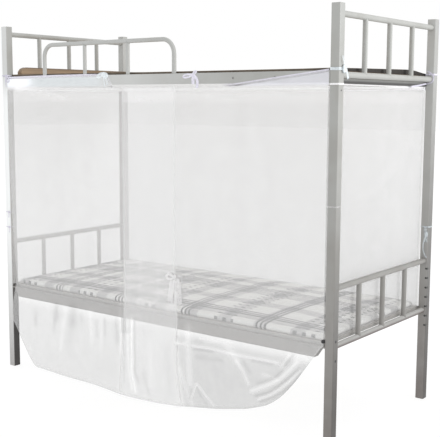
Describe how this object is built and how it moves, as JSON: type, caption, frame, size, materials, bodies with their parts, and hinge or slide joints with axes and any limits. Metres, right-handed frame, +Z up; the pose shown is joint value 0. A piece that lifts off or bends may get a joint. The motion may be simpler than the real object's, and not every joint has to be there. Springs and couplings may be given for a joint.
{
  "type": "mosquito net canopy on a steel bunk bed",
  "caption": "Sheer box-shaped mosquito net tied inside the lower berth of a steel bunk bed, with overlapping door panels and a rounded skirt",
  "frame": {"origin": "on the floor under the middle of the whole object's box", "axes": "+X along the bed to its right end as seen from the open front, +Y from the front to the back, +Z up"},
  "size_m": [2.0098, 0.9495, 1.79],
  "materials": {
    "painted_steel": "light grey powder coat, slightly worn",
    "plywood": "plain sanded board",
    "batten_wood": "brown varnish, rubbed",
    "mattress_cotton": "plain woven cover",
    "polyester_net": "sheer white polyester net",
    "cotton_tape": "white woven tape"
  },
  "bodies": {
    "root": {"back_wall": "polyester_net", "binding_tape_back": "cotton_tape", "binding_tape_front": "cotton_tape", "binding_tape_left": "cotton_tape", "binding_tape_right": "cotton_tape", "deck_batten": "batten_wood", "door_panel_left": "polyester_net", "door_panel_right": "polyester_net", "door_tie": "cotton_tape", "end_wall_left": "polyester_net", "end_wall_right": "polyester_net", "guard_bar_1": "painted_steel", "guard_bar_2": "painted_steel", "guard_rail": "painted_steel", "lower_deck": "plywood", "lower_end_left_low_rail": "painted_steel", "lower_end_left_top_rail": "painted_steel", "lower_end_left_upright_1": "painted_steel", "lower_end_left_upright_2": "painted_steel", "lower_end_left_upright_3": "painted_steel", "lower_end_right_low_rail": "painted_steel", "lower_end_right_top_rail": "painted_steel", "lower_end_right_upright_1": "painted_steel", "lower_end_right_upright_2": "painted_steel", "lower_end_right_upright_3": "painted_steel", "lower_side_rail_back": "painted_steel", "lower_side_rail_front": "painted_steel", "mattress": "mattress_cotton", "post_back_left": "painted_steel", "post_back_right": "painted_steel", "post_front_left": "painted_steel", "post_front_right": "painted_steel", "rail_bow_left": "cotton_tape", "rail_bow_middle": "cotton_tape", "roof": "polyester_net", "string_front_right_low": "cotton_tape", "string_front_right_seam": "cotton_tape", "tie_back_left_top": "cotton_tape", "tie_back_right_side": "cotton_tape", "tie_back_right_top": "cotton_tape", "tie_front_left_lower_side": "cotton_tape", "tie_front_left_top": "cotton_tape", "tie_front_left_upper_side": "cotton_tape", "tie_front_right_top": "cotton_tape", "upper_cross_bar_left": "painted_steel", "upper_cross_bar_right": "painted_steel", "upper_deck": "plywood", "upper_end_left_low_rail": "painted_steel", "upper_end_left_top_rail": "painted_steel", "upper_end_left_upright_1": "painted_steel", "upper_end_left_upright_2": "painted_steel", "upper_end_left_upright_3": "painted_steel", "upper_end_right_low_rail": "painted_steel", "upper_end_right_top_rail": "painted_steel", "upper_end_right_upright_1": "painted_steel", "upper_end_right_upright_2": "painted_steel", "upper_end_right_upright_3": "painted_steel", "upper_side_rail_back": "painted_steel", "upper_side_rail_front": "painted_steel"}
  },
  "joints": []
}
